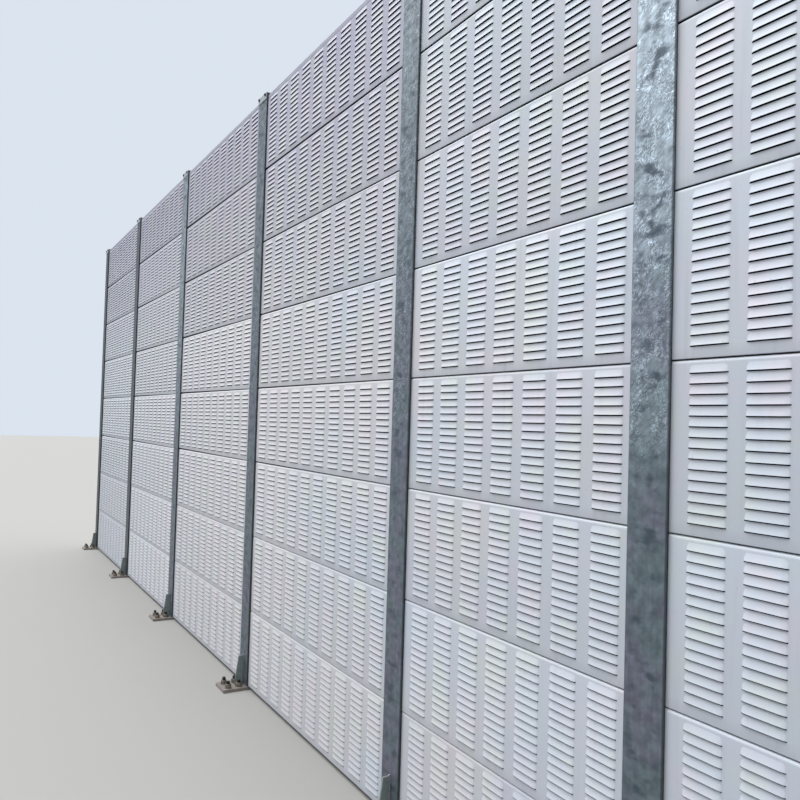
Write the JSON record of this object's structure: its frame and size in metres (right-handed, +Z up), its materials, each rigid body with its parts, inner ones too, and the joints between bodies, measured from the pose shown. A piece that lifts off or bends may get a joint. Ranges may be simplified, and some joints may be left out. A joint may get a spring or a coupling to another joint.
{
  "type": "noise barrier section",
  "caption": "Roadside noise barrier: galvanised H-posts bolted down on base plates, with stacked louvred light-grey sound-absorbing panels slotted between them.",
  "frame": {"origin": "centre of the underside of the fourth base plate from the -X end, on the face that lies on the concrete", "axes": "+X along the wall, -Y towards the road and the louvred face, +Z up"},
  "size_m": [11.63, 0.47, 4.057],
  "materials": {
    "galvanised_steel": "hot-dip galvanised, dull",
    "coated_panel": "matt powder coat",
    "rubber": "matt"
  },
  "bodies": {
    "root": {"post_1": "galvanised_steel", "base_plate_1": "galvanised_steel", "gussets_1": "galvanised_steel", "post_cap_1": "galvanised_steel", "post_2": "galvanised_steel", "base_plate_2": "galvanised_steel", "gussets_2": "galvanised_steel", "post_cap_2": "galvanised_steel", "post_3": "galvanised_steel", "base_plate_3": "galvanised_steel", "gussets_3": "galvanised_steel", "post_cap_3": "galvanised_steel", "post_4": "galvanised_steel", "base_plate_4": "galvanised_steel", "gussets_4": "galvanised_steel", "post_cap_4": "galvanised_steel", "post_5": "galvanised_steel", "base_plate_5": "galvanised_steel", "gussets_5": "galvanised_steel", "post_cap_5": "galvanised_steel", "post_6": "galvanised_steel", "base_plate_6": "galvanised_steel", "gussets_6": "galvanised_steel", "post_cap_6": "galvanised_steel", "post_7": "galvanised_steel", "base_plate_7": "galvanised_steel", "gussets_7": "galvanised_steel", "post_cap_7": "galvanised_steel", "panels_bay_1_odd_rows": "coated_panel", "panels_bay_1_even_rows": "coated_panel", "panels_bay_2_odd_rows": "coated_panel", "panels_bay_2_even_rows": "coated_panel", "panels_bay_3_odd_rows": "coated_panel", "panels_bay_3_even_rows": "coated_panel", "panels_bay_4_odd_rows": "coated_panel", "panels_bay_4_even_rows": "coated_panel", "panels_bay_5_odd_rows": "coated_panel", "panels_bay_5_even_rows": "coated_panel", "panels_bay_6_odd_rows": "coated_panel", "panels_bay_6_even_rows": "coated_panel", "top_closing_strips": "coated_panel", "front_gaskets": "rubber", "rear_packers": "rubber"}
  },
  "joints": []
}
